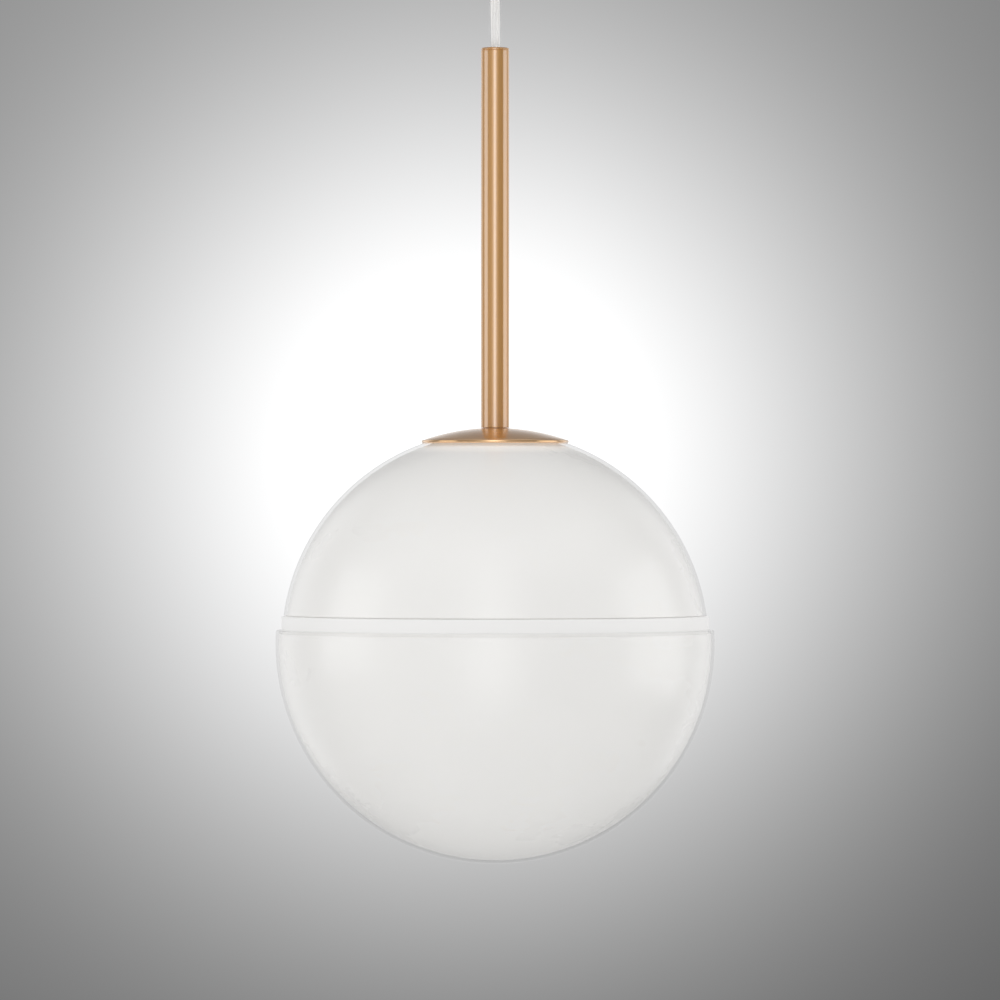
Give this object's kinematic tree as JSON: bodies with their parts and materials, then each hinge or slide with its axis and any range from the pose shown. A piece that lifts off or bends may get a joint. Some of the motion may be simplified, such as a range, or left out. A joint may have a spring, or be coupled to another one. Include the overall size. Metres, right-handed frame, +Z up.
{
  "type": "pendant ceiling light",
  "caption": "Pendant light: white opal glass globe in an upper and a lower half, under a gold dome cap and straight gold stem, on a short clear flex from a round gold canopy.",
  "frame": {"origin": "middle of the fixing bracket's flat top, which lies against the ceiling", "axes": "+Z up along the light's vertical axis, +X along the fixing bracket's strap"},
  "size_m": [0.2496, 0.2496, 0.5525],
  "materials": {
    "satin_gold": "satin gold plating",
    "opal_glass": "glossy cased opal glass",
    "clear_plastic": "clear moulded polycarbonate, frosted by the light behind it",
    "clear_sheath": "clear flexible sheath over tinned and white cores",
    "zinc_steel": "zinc plated steel",
    "brass": "turned brass",
    "spring_steel": "bright spring steel",
    "white_rubber": "matte white silicone",
    "white_plastic": "moulded white thermoplastic",
    "white_ceramic": "glazed steatite",
    "black_glass": "black glass insulator",
    "brown_core": "brown core insulation",
    "blue_core": "blue core insulation",
    "green_core": "green and yellow core insulation",
    "board_white": "white circuit board"
  },
  "bodies": {
    "ceiling": {"ceiling_bracket": "zinc_steel", "canopy_cup": "satin_gold", "canopy_screw_left": "satin_gold", "canopy_screw_right": "satin_gold", "cord_grip": "clear_plastic", "cord_grip_nut": "white_plastic", "terminal_block": "white_plastic", "block_screw": "zinc_steel", "terminal_screw_live": "brass", "terminal_screw_neutral": "brass", "terminal_screw_earth": "brass", "earth_screw": "brass", "live_core": "brown_core", "neutral_core": "blue_core", "earth_core": "green_core", "earth_lead": "green_core", "cup_flex": "clear_sheath"},
    "flex": {"supply_cord": "clear_sheath"},
    "bush": {"stem_bush": "white_plastic"},
    "pendant": {"stem_tube": "satin_gold", "stem_flex": "clear_sheath", "stem_coupler": "brass", "threaded_nipple": "zinc_steel", "dome_cap": "satin_gold", "cap_gasket": "white_rubber", "upper_shade": "opal_glass", "shade_gasket": "white_rubber", "clamp_plate": "zinc_steel", "clamp_nut": "brass", "holder_cap": "white_plastic", "earth_tag": "brass", "holder_lock_nut": "brass", "contact_base": "white_ceramic", "centre_contact": "spring_steel", "screw_shell": "brass", "holder_body": "white_plastic", "holder_live_core": "brown_core", "holder_neutral_core": "blue_core", "holder_earth_core": "green_core", "seam_collar": "clear_plastic", "bowl_clip_1": "spring_steel", "bowl_clip_2": "spring_steel", "bowl_clip_3": "spring_steel", "clip_rivet_1": "spring_steel", "clip_rivet_2": "spring_steel", "clip_rivet_3": "spring_steel"},
    "bowl": {"lower_shade": "opal_glass"},
    "bulb": {"bulb_tip": "zinc_steel", "bulb_insulator": "black_glass", "bulb_screw_cap": "zinc_steel", "bulb_housing": "white_plastic", "led_board": "board_white", "bulb_envelope": "opal_glass"}
  },
  "joints": [
    {"name": "side_swing", "type": "hinge", "parent": "ceiling", "child": "flex", "pos_m": [0, 0, -0.046], "axis": [0, 1, 0], "range_deg": [-15, 15]},
    {"name": "fore_swing", "type": "hinge", "parent": "flex", "child": "bush", "pos_m": [0, 0, -0.088], "axis": [1, 0, 0], "range_deg": [-15, 15]},
    {"name": "lamp_turn", "type": "hinge", "parent": "bush", "child": "pendant", "pos_m": [0, 0, -0.088], "axis": [0, 0, 1], "range_deg": [-90, 90]},
    {"name": "bowl_drop", "type": "slide", "parent": "pendant", "child": "bowl", "axis": [0, 0, -1], "range_m": [0, 0.06]},
    {"name": "bulb_unscrew", "type": "hinge", "parent": "pendant", "child": "bulb", "pos_m": [0, 0, -0.347], "axis": [0, 0, 1], "range_deg": [-900, 0]}
  ]
}
